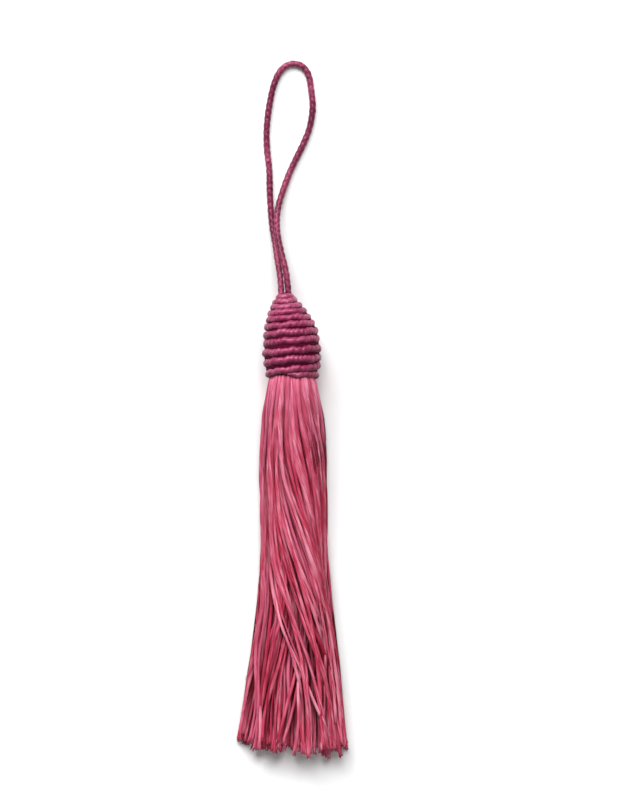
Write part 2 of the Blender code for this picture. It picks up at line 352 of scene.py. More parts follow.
def cap_quads(sides):
    """The faces that close an end with an even number of sides."""
    low = np.arange(sides // 2 - 1)
    return np.stack([low, low + 1, sides - 2 - low, sides - 1 - low], axis=-1)


def tube_points(centres, radii, outline, up):
    """The points of tubes round their centres, strands by rings by sides by 3."""
    sides = outline.shape[2]
    tangent = unit(np.gradient(centres, axis=1))
    side_axis = unit(np.cross(tangent, np.broadcast_to(np.asarray(up, float), centres.shape)))
    up_axis = np.cross(side_axis, tangent)
    angle = 2 * math.pi * np.arange(sides) / sides
    spread = (radii[..., None] * outline)[..., None]
    return (
        centres[:, :, None, :]
        + spread * np.cos(angle)[:, None] * side_axis[:, :, None, :]
        + spread * np.sin(angle)[:, None] * up_axis[:, :, None, :]
    )


def tube_faces(strands, rings, sides):
    """Their walls and then their two ends, all of four corners."""
    index = np.arange(strands * rings * sides).reshape(strands, rings, sides)
    after = np.roll(index, -1, axis=2)
    walls = np.stack([index[:, :-1], index[:, 1:], after[:, 1:], after[:, :-1]], axis=-1).reshape(-1, 4)
    cap = cap_quads(sides)
    first = index[:, 0][:, cap].reshape(-1, 4)
    last = index[:, -1][:, cap[:, ::-1]].reshape(-1, 4)
    return np.vstack([walls, first, last])


def tube_uvs(centres, sides):
    """Millimetres along a tube and turns round it, at every corner of those faces."""
    gone = lengths_along(centres)
    corner_u = np.stack([gone[:, :-1], gone[:, 1:], gone[:, 1:], gone[:, :-1]], axis=-1)
    corner_u = np.repeat(corner_u[:, :, None, :], sides, axis=2)
    turn = np.arange(sides) / sides
    corner_v = np.stack([turn, turn, turn + 1 / sides, turn + 1 / sides], axis=-1)
    corner_v = np.broadcast_to(corner_v, corner_u.shape)
    wall_uv = np.stack([corner_u, corner_v], axis=-1).reshape(-1, 2)
    cap_u = np.repeat(np.concatenate([gone[:, 0], gone[:, -1]]), cap_quads(sides).size)
    cap_uv = np.stack([cap_u, np.full(len(cap_u), 0.5)], axis=-1)
    return np.vstack([wall_uv, cap_uv])


def strand_mesh(name, centres, radii, outline, tones, floor, up=(0.0, 0.0, 1.0)):
    """One mesh of closed tubes, none of it below the floor.

    centres is strands by rings by 3, radii is strands by rings, outline is strands by rings by sides and
    scales the radius, and up says where a section's second axis points. tones are the material's attributes,
    one for each strand, ring or side. A single strand comes without the first axis.
    """
    if centres.ndim == 2:
        centres, radii, outline = centres[None], radii[None], outline[None]
        tones = {key: values[None] for key, values in tones.items()}
    points = tube_points(centres, radii, outline, up)
    points[..., 2] = np.maximum(points[..., 2], floor)
    faces = tube_faces(*outline.shape)
    mesh = bpy.data.meshes.new(name)
    mesh.from_pydata(points.reshape(-1, 3) * MM, [], faces)
    mesh.polygons.foreach_set("use_smooth", np.ones(len(faces), bool))
    layer = mesh.uv_layers.new(name="strand")
    layer.data.foreach_set("uv", tube_uvs(centres, outline.shape[2]).astype(np.float32).ravel())
    for key, values in tones.items():
        while values.ndim < 3:
            values = values[..., None]
        data = mesh.attributes.new(key, "FLOAT", "POINT").data
        data.foreach_set("value", np.broadcast_to(values, outline.shape).astype(np.float32).ravel())
    mesh.update()
    return add_object(name, mesh)


def plied_outline(sides, twist, ply_offset):
    """Outline of two plies twisted together: how far each side lies from the middle, in radii."""
    angle = 2 * math.pi * (np.arange(sides) / sides - twist[:, None])
    ply_radius = 1 - ply_offset
    return ply_offset * np.abs(np.cos(angle)) + np.sqrt(ply_radius ** 2 - (ply_offset * np.sin(angle)) ** 2)


# ---- materials
def new_material(name):
    material = bpy.data.materials.new(name)
    material.use_nodes = True
    return material, material.node_tree.nodes["Principled BSDF"]


def set_inputs(tree, node, inputs):
    """Links a node's inputs to sockets or sets them to values."""
    for key, value in inputs.items():
        if isinstance(value, bpy.types.NodeSocket):
            tree.links.new(value, node.inputs[key])
        else:
            node.inputs[key].default_value = value


def shader_node(tree, kind, inputs=None, **settings):
    made = tree.nodes.new(kind)
    for key, value in settings.items():
        setattr(made, key, value)
    set_inputs(tree, made, inputs or {})
    return made


def ramp_node(tree, factor, stops):
    made = shader_node(tree, "ShaderNodeValToRGB", {"Fac": factor})
    ramp = made.color_ramp
    while len(ramp.elements) < len(stops):
        ramp.elements.new(0.5)
    for element, (place, colour) in zip(ramp.elements, stops):
        element.position = place
        element.color = (*colour, 1.0)
    return made.outputs["Color"]


def yarn_material(
    name, colours, slant, streak, ply_shade, roughness, bump, contrast, specular, fibres=14, ior=1.5
):
    """Two plies of spun fibre twisted together, whose tone changes from yarn to yarn and along each one.

    fibres is how many fibre lines go round, slant how far along one goes once round, streak how long it keeps
    its tone, ply_shade how much painted shade lies between the plies, and bump how high the fibres stand.
    """
    material, shader = new_material(name)
    tree = material.node_tree

    def attribute(key):
        return shader_node(tree, "ShaderNodeAttribute", attribute_name=key).outputs["Fac"]

    def maths(operation, *values):
        return shader_node(tree, "ShaderNodeMath", dict(enumerate(values)), operation=operation).outputs[0]

    def noise(dimensions, **inputs):
        return shader_node(tree, "ShaderNodeTexNoise", inputs, noise_dimensions=dimensions).outputs["Fac"]

    # Fibre lines run round the yarn on a slant, so their noise is read on a circle. Every tone has its own.
    place = shader_node(tree, "ShaderNodeUVMap", uv_map="strand").outputs[0]
    split = shader_node(tree, "ShaderNodeSeparateXYZ", {0: place})
    along, around = split.outputs[0], split.outputs[1]
    tone = attribute("tone")
    turned = maths("SUBTRACT", around, maths("DIVIDE", along, slant))
    angle = maths("MULTIPLY", turned, 2 * math.pi)
    circle = fibres / (2 * math.pi)
    on_circle = {
        0: maths("MULTIPLY", maths("COSINE", angle), circle),
        1: maths("MULTIPLY", maths("SINE", angle), circle),
        2: maths("DIVIDE", along, streak),
    }
    fibre_place = shader_node(tree, "ShaderNodeCombineXYZ", on_circle).outputs[0]
    own_fibres = maths("MULTIPLY", tone, FIBRE_TONE_STEP)
    fibre = noise("4D", Vector=fibre_place, W=own_fibres, Detail=2.0, Roughness=0.6, Scale=1.0)
    mottle_place = maths("MULTIPLY_ADD", tone, MOTTLE_TONE_STEP, maths("DIVIDE", along, MOTTLE_LENGTH))
    mottle = noise("1D", W=mottle_place, Detail=2.0, Scale=1.0)
    ply_angle = maths("MULTIPLY", maths("SUBTRACT", around, attribute("twist")), 2 * math.pi)
    crest = maths("ABSOLUTE", maths("COSINE", ply_angle))

    # The noises and the tone are about 0.5 on average, and so then is the shade.
    contrasts = FIBRE_CONTRAST + MOTTLE_CONTRAST + TONE_CONTRAST
    base = 0.5 - contrasts / 2 * contrast - CREST_MEAN * ply_shade
    shade = maths("MULTIPLY_ADD", fibre, FIBRE_CONTRAST * contrast, base)
    shade = maths("MULTIPLY_ADD", mottle, MOTTLE_CONTRAST * contrast, shade)
    shade = maths("MULTIPLY_ADD", tone, TONE_CONTRAST * contrast, shade)
    # Painted shade between the plies and painted light along their crests.
    shade = maths("MULTIPLY_ADD", crest, ply_shade, shade)
    colour = ramp_node(tree, shade, ((0.05, colours.dark), (0.5, colours.mid), (0.95, colours.light)))
    # Mixed towards the pale colour for faded yarns and painted sheen, and towards the deep colour for painted
    # shade.
    for key, other in (("faded_and_sheen", colours.pale or colours.light), ("painted_shade", colours.deep)):
        mix = {"Factor": attribute(key), "A": colour, "B": (*other, 1.0)}
        colour = shader_node(tree, "ShaderNodeMix", mix, data_type="RGBA").outputs["Result"]

    bumped = shader_node(tree, "ShaderNodeBump", {"Height": fibre, "Strength": 1.0, "Distance": bump * MM})
    rough = maths("MULTIPLY_ADD", fibre, -FIBRE_GLOSS, roughness + FIBRE_GLOSS / 2)
    rough = maths("MULTIPLY_ADD", attribute("painted_shade"), BURIED_ROUGHNESS, rough)
    set_inputs(tree, shader, {
        "Base Color": colour,
        "Normal": bumped.outputs[0],
        "Roughness": rough,
        "IOR": ior,
        "Specular IOR Level": specular / 2,
        "Specular Tint": (*SHEEN_TINT, 1.0),
    })
    return material


skirt_material = yarn_material(
    "rayon_skirt_yarn", SKIRT_COLOURS,
    slant=18.0, streak=9.0, ply_shade=0.1, roughness=0.46, bump=0.06, contrast=1.8, specular=0.8, fibres=13,
)
wound_material = yarn_material(
    "wound_head_cord", WOUND_COLOURS,
    slant=-2.2, streak=1.6, ply_shade=0.2, roughness=0.36, bump=0.07, contrast=1.4, specular=1.6, ior=1.55,
)
loop_material = yarn_material(
    "hanging_loop_cord", LOOP_COLOURS,
    slant=-3.6, streak=3.0, ply_shade=0.16, roughness=0.42, bump=0.06, contrast=2.0, specular=1.5,
)
core_material = yarn_material(
    "head_core_cord", CORE_SHADED_COLOURS,
    slant=-2.2, streak=1.6, ply_shade=0.0, roughness=0.8, bump=0.05, contrast=2.0, specular=0.1,
)


def dress(piece, material, node):
    """Gives a piece its material, hangs it under the root body and hides the CAD node that it replaces."""
    piece.data.materials.append(material)
    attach(piece, "root")
    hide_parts(node)


# ---- camera, floor and light
def make_camera():
    data = bpy.data.cameras.new("camera")
    data.sensor_width = SENSOR
    data.lens = SENSOR * CAMERA_DISTANCE / FRAME_HEIGHT
    data.clip_start = 0.01
    data.clip_end = 10.0
    camera = add_object("camera", data)
    camera.location = (FRAME_MIDDLE[0] * MM, FRAME_MIDDLE[1] * MM, (FRAME_LEVEL + CAMERA_DISTANCE) * MM)
    bpy.context.scene.camera = camera


def make_floor():
    mesh = bpy.data.meshes.new("floor")
    corners = [(x * FLOOR_REACH, y * FLOOR_REACH, 0) for x, y in ((-1, -1), (1, -1), (1, 1), (-1, 1))]
    mesh.from_pydata(corners, [], [(0, 1, 2, 3)])
    floor = add_object("floor", mesh)
    material, shader = new_material("floor_paper")
    grey = (FLOOR_GREY, FLOOR_GREY, FLOOR_GREY, 1.0)
    paper = {"Base Color": grey, "Roughness": 0.8, "Specular IOR Level": 0.2}
    set_inputs(material.node_tree, shader, paper)
    mesh.materials.append(material)


def make_room():
    """Pale walls that darken towards the ceiling."""
    world = bpy.data.worlds.new("studio")
    world.use_nodes = True
    tree = world.node_tree
    direction = shader_node(tree, "ShaderNodeTexCoord").outputs["Generated"]
    height = shader_node(tree, "ShaderNodeSeparateXYZ", {0: direction}).outputs[2]
    stops = ((0.08, (WALL_GREY,) * 3), (0.24, (CEILING_GREY,) * 3))
    set_inputs(tree, tree.nodes["Background"], {"Color": ramp_node(tree, height, stops), "Strength": 1.0})
    bpy.context.scene.world = world


def make_light(name, place, size, power):
    """A square light that faces the tassel's middle."""
    data = bpy.data.lights.new(name, "AREA")
    data.shape = "SQUARE"
    data.size = size
    data.energy = power
    light = add_object(name, data)
    light.location = place
    light.rotation_mode = "QUATERNION"
    light.rotation_quaternion = (Vector(AIM) - Vector(place)).to_track_quat("-Z", "Y")


# ---- the loop
def make_loop():
    route = np.array(LOOP_ROUTE)
    start, end = route[0] - (0, LOOP_LEG_DEPTH, 0), route[-1] - (0, LOOP_LEG_DEPTH, 0)
    line = evenly(catmull_rom(np.vstack([start, route, end]), 40), CORD_STEP)
    gone = np.arange(len(line)) * CORD_STEP
    rng = np.random.default_rng(SEED)
    thick = CORD_CREST * CORD_DIAMETER / 2 * (1 + 0.03 * wander(rng, gone, (9.0, 4.0)))
    twist = (gone + 0.25 * wander(rng, gone, (14.0,))) / CORD_TWIST
    outline = plied_outline(CORD_SIDES, twist, CORD_PLY_OFFSET)
    tones = {"tone": 0.5 + 0.2 * wander(rng, gone, (23.0, 11.0)), "twist": twist}
    loop = strand_mesh("hanging_loop_cord", line, thick, outline, tones, floor=0.02)
    dress(loop, loop_material, "hanging_loop")


# ---- the head
def head_column(up, wanted):
    return table_column(HEAD_SECTIONS, "up", up, wanted)


def head_place(turn, up, inset):
    """A point inside the head's outline, on a turn that runs from the left side over the top."""
    radius = head_column(up, "half_width") - inset
    angle = 2 * math.pi * turn
    x = -radius * np.cos(angle) + head_column(up, "shift")
    return np.stack([x, HEAD_BASE_Y + up, AXIS_HEIGHT + radius * np.sin(angle)], axis=-1)


def winding_line(rng):
    """The line of the cord that is wound round the head, with its points a step apart."""
    fine = catmull_rom(WINDING, 60)
    gone = lengths_along(head_place(fine[:, 0], fine[:, 1], WOUND_RADIUS))
    wanted = np.arange(0, gone[-1], WOUND_STEP)
    turn = np.interp(wanted, gone, fine[:, 0])
    up = np.interp(wanted, gone, fine[:, 1]) + WOUND_WANDER * wander(rng, wanted, (9.0, 17.0, 5.0))
    inset = WOUND_RADIUS * head_column(up, "cord") + WOUND_SINK
    inset = inset + WOUND_UNEVEN * wander(rng, wanted, (7.0, 13.0))
    line = head_place(turn, np.clip(up, WOUND_LOWEST, HEAD_LENGTH), inset)
    line[:, 2] = np.maximum(line[:, 2], WOUND_RADIUS * WOUND_PRESSED)
    return evenly(line, WOUND_STEP)


def make_wound_cord():
    rng = np.random.default_rng(SEED + 1)
    line = winding_line(rng)
    gone = np.arange(len(line)) * WOUND_STEP
    height = line[:, 1] - HEAD_BASE_Y
    from_axis_x = line[:, 0] - head_column(height, "shift")
    outward = unit(np.stack([from_axis_x, np.zeros(len(line)), line[:, 2] - AXIS_HEIGHT], axis=-1))
    thick = WOUND_RADIUS * (1 + 0.05 * wander(rng, gone, (11.0, 5.0)))
    thick = thick * (TAIL_THICKNESS + (1 - TAIL_THICKNESS) * smoothstep(gone, 0, TAIL_LENGTH))
    thick = thick * head_column(height, "cord")
    twist = (gone + 0.8 * wander(rng, gone, (18.0, 8.0))) / WOUND_TWIST
    outline = plied_outline(CORD_SIDES, twist, WOUND_PLY_OFFSET)
    tone = 0.51 + 0.08 * smoothstep(height, 4, 9) + 0.12 * smoothstep(height, 13, 19)
    tone = tone + 0.25 * wander(rng, gone, (31.0, 12.0))
    # Painted shade: the cord is painted darker between its turns, more so below its crest and low on the
    # head.
    side = 2 * math.pi * np.arange(CORD_SIDES) / CORD_SIDES
    downward = np.cos(side) + 0.16 * wander(rng, gone, (6.0, 2.6))[:, None]
    painted_cord_shade = 0.8 * smoothstep(downward, -0.12, 0.62) + 0.5 * smoothstep(-downward, 0.35, 0.95)
    painted_cord_shade = painted_cord_shade * (0.86 + 0.14 * smoothstep(height, 3, 7) - 0.55 * smoothstep(height, 9, 14))[:, None]
    tones = {"tone": tone, "twist": twist, "painted_shade": painted_cord_shade}
    cord = strand_mesh("head_wound_cord", line, thick, outline, tones, floor=0.0, up=outward)
    dress(cord, wound_material, "head")


def make_head_core():
    """The lower layer of winding, a real layer that is coloured darker than the cord on it as painted shade,
    which shows as a dark ground between the turns.
    """
    up = np.linspace(1.0, HEAD_LENGTH - 0.4, CORE_RINGS)
    radius = head_column(up, "half_width") - CORE_INSET - CORE_CROWN_INSET * smoothstep(up, 10, 16)
    axis = np.full(CORE_RINGS, AXIS_HEIGHT)
    centres = np.stack([head_column(up, "shift"), HEAD_BASE_Y + up, axis], axis=-1)
    outline = np.ones((CORE_RINGS, CORE_SIDES))
    tones = {"tone": np.full(CORE_RINGS, CORE_TONE)}
    core = strand_mesh("head_core", centres, radius, outline, tones, floor=0.1)
    dress(core, core_material, "head")


# ---- the skirt's form
def disc_share(across):
    """Share of a disc's area to the left of a point that far across it, from -1 to 1."""
    return 0.5 + (across * np.sqrt(1 - across ** 2) + np.arcsin(across)) / math.pi


def flat_share(across):
    """The same for the skirt's flat section, whose top drops towards its edges."""
    size = np.abs(across)
    return 0.5 + np.sign(across) * (size - SHOULDER_DROP / 4 * size ** 4) / (2 * (1 - SHOULDER_DROP / 4))


def skirt_column(down, wanted):
    return table_column(SKIRT_SECTIONS, "down", down, wanted)


def skirt_heights(down):
    return skirt_column(down, "underside"), skirt_column(down, "top")


def skirt_middle(down):
    return (skirt_column(down, "left") + skirt_column(down, "right")) / 2


def skirt_half(down):
    return (skirt_column(down, "right") - skirt_column(down, "left")) / 2


# ---- where its yarns run
# Places in the round neck, across and up from its middle, and where they come to in the flat section: how far
# across it, and how far they rise from its underside (0) to its top (1).
Home = namedtuple("Home", "across up flat rise")
# Of every yarn: its x at every station, its rank in the order of laying, how far down it ends, its lock, its
# home and how far it lies above that.
Plan = namedtuple("Plan", "x order end lock home lift")


def sunflower(count, first_turn):
    """Points spread evenly over a disc: how far across and how far up each lies."""
    index = np.arange(count)
    reach = np.sqrt((index + 0.5) / count)
    turn = index * GOLDEN_ANGLE + first_turn
    return reach * np.cos(turn), reach * np.sin(turn)


def home_at(across, up):
    grid = np.linspace(-1, 1, 401)
    flat = np.interp(disc_share(across), flat_share(grid), grid)
    return Home(across, up, flat, 0.5 + up / (2 * np.sqrt(1 - across ** 2)))


def thread_homes(rng):
    across, up = sunflower(THREADS, 0.0)
    across, up = across + rng.normal(0, HOME_JITTER, THREADS), up + rng.normal(0, HOME_JITTER, THREADS)
    inside = np.minimum(1, HOME_REACH / np.hypot(across, up))
    return home_at(across * inside, up * inside)


def gather_locks(rng, downs):
    """How far the threads of each lock have drawn together."""
    start = rng.uniform(-2, 14, (LOCKS, 1))
    gather = smoothstep(downs, start, start + rng.uniform(14, 36, (LOCKS, 1)))
    return gather * rng.uniform(0.8, 1.0, (LOCKS, 1))


def drift_locks(rng, downs, home):
    """How far each lock wanders off its line and fans out towards the ends."""
    drift = wander(rng, downs, (100.0, 55.0), LOCKS) * (0.2 + 0.8 * smoothstep(downs, 15, 90))
    drift = drift * (0.5 + 0.6 * np.clip(home.rise, 0, 1))[:, None]
    fan_start = rng.uniform(30, 62, (LOCKS, 1))
    fan = rng.normal(0, 0.08, (LOCKS, 1)) * 3.0 * np.logaddexp(0, (downs - fan_start) / 3.0)
    return drift + fan


def comb_locks(rng, downs, home):
    """Which locks are combed to the right, from how far down, and how far across they have gone."""
    combed = (home.rise > COMBED_RISE) & (home.flat > COMBED_LEFT) & (home.flat < COMBED_RIGHT)
    combed = combed & (rng.random(LOCKS) < COMBED_SHARE)
    start = COMBED_START + COMBED_LATER * (COMBED_RIGHT - home.flat)
    start = start + COMBED_LEFT_LATER * smoothstep(-home.flat, 0.42, -COMBED_LEFT)
    start = np.clip(start + rng.normal(0, 4, LOCKS), 4, 54)
    target = np.minimum(home.flat + rng.uniform(0.95, 1.5, LOCKS), rng.uniform(0.6, 0.95, LOCKS))
    run = rng.normal(COMBED_RUN, 0.03, LOCKS)
    end = start + (target - home.flat) * 10.0 / run
    gone = soft_ramp(downs, start[:, None], end[:, None], 5.0)
    return combed, start, np.where(combed, target - home.flat, 0)[:, None] * gone


def stray_locks(rng, downs, home, combed):
    """Which other upper locks cross to the left near the ends, and how far across they have gone."""
    strays = (home.rise > 0.2) & ~combed & (home.flat < 0.4) & (rng.random(LOCKS) < STRAY_SHARE)
    start = rng.uniform(56, 72, LOCKS)
    target = np.maximum(home.flat - rng.uniform(0.3, 0.9, LOCKS), -0.95)
    end = start + rng.uniform(20, 30, LOCKS)
    gone = soft_ramp(downs, start[:, None], end[:, None], 2.0)
    return strays, np.where(strays, target - home.flat, 0)[:, None] * gone


def seats_in_locks(rng, across, lock):
    """Where each thread of a gathered lock lies beside the others."""
    seat = np.zeros(THREADS)
    for one in range(LOCKS):
        members = np.flatnonzero(lock == one)
        order = members[np.argsort(across[members])]
        columns = np.linspace(-1, 1, len(order)) if len(order) > 1 else np.zeros(1)
        seat[order] = columns * THREAD_RADIUS * rng.uniform(0.7, 1.3)
    return seat


def clumped(x, rise, downs, combed):
    """The same lines drawn together in clumps. Each stays in its own, so none bends from one to the next."""
    pulled = x
    for clump in CLUMPS:
        station = int(np.argmin(np.abs(downs - clump.at)))
        place = x[:, station] - clump.slant * downs[station] + 0.35 * rise
        turn = 2 * math.pi * place / clump.width + 0.8 * np.sin(0.9 * place + 0.1 * clump.at)
        strength = np.where(combed, clump.combed, clump.others)[:, None]
        rising = smoothstep(downs, clump.start, clump.full)
        reach = rising * (1 - smoothstep(downs, clump.fades, clump.ended))
        pulled = pulled + strength * reach * (clump.width / (2 * math.pi) * np.sin(turn))[:, None]
    return pulled


def kept_within(x, middle, half):
    """The same lines, none of them far past the skirt's edges."""
    share = (x - middle) / half
    beyond = np.maximum(np.abs(share) - EDGE_FROM, 0)
    kept = np.minimum(np.abs(share), EDGE_FROM) + EDGE_GIVE * np.tanh(beyond / EDGE_GIVE)
    return middle + half * np.sign(share) * kept


def plan_threads(rng, downs):
    """Where every thread runs, before any is laid down."""
    home = thread_homes(rng)
    lock_home = home_at(*sunflower(LOCKS, 1.0))
    apart = (home.across[:, None] - lock_home.across) ** 2 + (home.up[:, None] - lock_home.up) ** 2
    lock = apart.argmin(axis=1)

    gather = gather_locks(rng, downs)
    drift = drift_locks(rng, downs, lock_home)
    combed, turning_off, sweep = comb_locks(rng, downs, lock_home)
    straying = np.where(combed, COMBED_STRAYING, 1.0)[:, None]
    # The others make room for the combed locks and spread to the left.
    lock_line = lock_home.flat[:, None] + sweep
    room = np.where(combed, 0, 0.2) * np.minimum(1, 0.5 + lock_home.rise)
    lock_line = lock_line - room[:, None] * (1 - lock_line ** 2) * smoothstep(downs, 25, 75)
    strays, crossing = stray_locks(rng, downs, lock_home, combed)
    lock_line = lock_line + crossing

    # A thread goes from its own place to its lock's as they draw together.
    middle, half = skirt_middle(downs), skirt_half(downs) - THREAD_RADIUS
    flatness = skirt_column(downs, "flatness")
    own = home.across[:, None] * (1 - flatness) + home.flat[:, None] * flatness
    pull = gather[lock]
    shift = (lock_line - lock_home.flat[:, None])[lock]
    in_lock = lock_home.flat[lock][:, None]
    line = own * (1 - pull) + in_lock * pull * flatness + own * pull * (1 - flatness) + shift
    seat = seats_in_locks(rng, home.across, lock)
    loose = wander(rng, downs, (52.0, 24.0), THREADS) * 0.22 * smoothstep(downs, 0, 12) * straying[lock]
    drift = (drift * straying)[lock] * 0.9
    x = middle + half * np.clip(line, -1, 1) + pull * seat[:, None] + drift + loose
    x = kept_within(clumped(x, home.rise, downs, combed[lock]), middle, half)

    # Low ones are laid first and those that cross over late, the left ones over the right ones.
    order = lock_home.rise[lock] + 0.12 * (home.rise - lock_home.rise[lock]) + np.where(combed, 0.35, 0)[lock]
    order = order + np.where(strays, 0.3, 0)[lock] + np.where(combed, 0.008 * turning_off, 0)[lock]

    at_end = np.clip(line[:, -1], -1, 1)
    arc = np.where(at_end < 0, END_ARC_LEFT, END_ARC_RIGHT)
    end = SKIRT_LENGTH - arc * at_end ** 2 - UNDERSIDE_CUT * (1 - home.rise)
    end = end + rng.normal(0, 0.4, LOCKS)[lock] + rng.normal(0, 0.35, THREADS)
    lift = rng.normal(0, 0.6, LOCKS)[lock] + wander(rng, NECK_HALF_WIDTH * home.across, (3.4, 1.9))
    return Plan(x, order, end, lock, home, lift)


# ---- how they come to lie
class Heap:
    """A heap of threads on a floor: its height over every cell of every section."""

    def __init__(self, downs):
        cells = np.arange(HEAP_LEFT, -HEAP_LEFT, CELL)
        low, top = skirt_heights(downs)
        flat = skirt_column(downs, "flatness")
        across = np.clip((cells - skirt_middle(downs)[:, None]) / skirt_half(downs)[:, None], -1, 1)
        hollow = (low + top)[:, None] / 2 - (top - low)[:, None] / 2 * np.sqrt(1 - across ** 2)
        self.height = hollow * (1 - flat)[:, None] ** 2
        self.rows = np.arange(len(downs))[:, None]

    def reach(self, x, half_width, half_height):
        """The cells that a thread covers, and how far its surface lies from its middle there."""
        steps = int(math.ceil(half_width / CELL)) + 1
        first = np.round((x - HEAP_LEFT) / CELL).astype(int)
        cells = np.clip(first[:, None] + np.arange(-steps, steps + 1), 0, self.height.shape[1] - 1)
        offset = (cells * CELL + HEAP_LEFT - x[:, None]) / half_width
        inside = np.abs(offset) < 1
        lift = half_height * np.sqrt(np.maximum(1 - offset ** 2, 0))
        return cells, inside, lift

    def rest(self, x, half_width, half_height):
        """How high a thread's middle lies if it rests on the heap along that line."""
        cells, inside, lift = self.reach(x, half_width, half_height)
        return np.where(inside, self.height[self.rows, cells] + lift, 0).max(axis=1)

    def add(self, x, z, half_width, half_height):
        cells, inside, lift = self.reach(x, half_width, half_height)
        top = np.where(inside, z[:, None] + lift, 0)
        np.maximum.at(self.height, (np.broadcast_to(self.rows, cells.shape), cells), top)


def under_lines(values, x):
    """What a table of sections by cells holds under lines given by their x at every section."""
    cells = np.round((x - HEAP_LEFT) / CELL).astype(int)
    return values[np.arange(len(values)), cells]


def bound_heights(plan, downs, thick):
    """How high the threads would lie if they were held in place all the way down."""
    low, top = skirt_heights(downs)
    flat = skirt_column(downs, "flatness")
    up, rise, thick = plan.home.up[:, None], plan.home.rise[:, None], thick[:, None]
    shoulder = 1 - SHOULDER_DROP * np.clip(np.abs(plan.x / SHOULDER_HALF_WIDTH), 0, 1) ** 3
    in_round = (low + top) / 2 + (top - low - 2 * thick) / 2 * up
    in_flat = low + thick + (top - low - 2 * thick) * rise * shoulder
    return in_round * (1 - flat) + in_flat * flat + NECK_LIFT * plan.lift[:, None] * smoothstep(downs, 2, 9)


def lay_threads(plan, downs, radius):
    """Lays the threads down one after another, so that each rests on those below it."""
    heap = Heap(downs)
    thick = radius / math.sqrt(RIBBON_ASPECT)
    bound = 1 - smoothstep(downs, 2, 20)
    held = bound_heights(plan, downs, thick)
    freedom = 1 - 0.6 * smoothstep(downs, 20, 60)
    slides = np.linspace(-SLIDE, SLIDE, 7)
    x, z = plan.x.copy(), np.zeros_like(plan.x)
    for one in np.argsort(plan.order):
        wide, high = radius[one] * RIBBON_ASPECT ** 0.3, LAID_HEIGHT * thick[one]
        levels = np.stack([heap.rest(x[one] + slide, wide, high) for slide in slides])
        weight = np.exp(-(levels - levels.min(axis=0)) / SLIDE_SOFTNESS)
        slide = blurred((weight * slides[:, None]).sum(axis=0) / weight.sum(axis=0), 6)
        x[one] = x[one] + slide * (1 - bound) * freedom
        resting = heap.rest(x[one], wide, high)
        level = resting
        for _ in range(BRIDGING):
            level = np.maximum(blurred(level, 1), resting - SINK * thick[one])
        z[one] = held[one] * bound + level * (1 - bound)
        heap.add(x[one], z[one], LAID_SHARE * wide, LAID_SHARE * high)
    return heap, x, z


def shade_depths(heap, x, z, downs, radius):
    """How much painted shade each thread gets, from 0 on top to 1, by how deep it lies between its neighbours
    and how near the skirt's edges.
    """
    window = int(SHADE_REACH / CELL)
    summed = np.cumsum(np.pad(heap.height, ((0, 0), (window + 1, window))), axis=1)
    around = (summed[:, 2 * window + 1:] - summed[:, :-2 * window - 1]) / (2 * window + 1)
    over = under_lines(around, x) - z - radius[:, None] / math.sqrt(RIBBON_ASPECT)
    strength = 0.85 - 0.42 * smoothstep(downs, 19, 27) + 0.5 * smoothstep(downs, 48, 66)
    painted_shade = np.clip((over - SHADE_FROM) / SHADE_DEPTH, 0, 1) * strength
    # Painted shade: towards both edges the yarns are painted darker.
    out = np.abs(x - skirt_middle(downs)) / skirt_half(downs)
    painted_shade = painted_shade * (1 + smoothstep(downs, 40, 65) * (0.65 * smoothstep(out, 0.3, 0.9) - 0.25))
    painted_shade = painted_shade + EDGE_SHADE * smoothstep(out, 0.4, 0.95) * smoothstep(downs, 12, 40)
    return np.clip(painted_shade, 0, 1)


def settled(heap, x, z, downs, radius):
    """The threads' heights once the heap has settled to the skirt's form, which falls away at its edges."""
    kernel = np.exp(-0.5 * (np.arange(-40, 41) * CELL / SETTLE_REACH) ** 2)
    smooth = np.stack([np.convolve(row, kernel, "same") for row in heap.height])
    covered = np.stack([np.convolve(row > 0, kernel, "same") for row in heap.height])
    smooth = blurred(smooth / np.maximum(covered, 1e-6) + 1e-6, 8)
    places = HEAP_LEFT + np.arange(heap.height.shape[1]) * CELL
    low, top = skirt_heights(downs)
    across = np.clip(np.abs(places - skirt_middle(downs)[:, None]) / skirt_half(downs)[:, None], 0, 1)
    form = low[:, None] + SETTLE_FILL * (top - low)[:, None] * (1 - SHOULDER_DROP * across ** 3)
    settle = blurred(under_lines(np.clip(form / smooth, 0.2, 1.2), x).T, 6).T
    settle = 1 + (settle - 1) * smoothstep(downs, 6, 26)
    z = radius[:, None] + (z - radius[:, None]) * settle
    # A yarn that crosses others is pressed down, so that none arches over the rest.
    room = PRESSED_FROM + PRESSED_AT_EDGE * across ** 2
    crown = under_lines(form + room, x)
    pressed = crown + PRESSED_RISE * np.tanh(np.maximum(z - crown, 0) / PRESSED_RISE)
    pressed = np.where(z > crown, pressed, z)
    return z + (pressed - z) * smoothstep(downs, 3, 12)


# ---- their meshes
def thread_lines(plan, downs, x, z, painted_shade):
    """The threads' lines as far as their cut ends, and their painted shade there."""
    share = np.linspace(0, 1, THREAD_RINGS)
    centres = np.zeros((THREADS, THREAD_RINGS, 3))
    painted_shade_along = np.zeros((THREADS, THREAD_RINGS))
    for one in range(THREADS):
        at = downs[0] + (plan.end[one] - downs[0]) * share
        # Painted shade, with less of it close under the binding and at the cut ends.
        painted_shade_along[one] = np.interp(at, downs, painted_shade[one]) * smoothstep(at, 1, 9)
        centres[one, :, 0] = np.interp(at, downs, x[one])
        centres[one, :, 1] = PARTING_Y - at
        centres[one, :, 2] = np.interp(at, downs, z[one])
    return centres, painted_shade_along * (1 - 0.6 * smoothstep(share * SKIRT_LENGTH, 82, SKIRT_LENGTH))


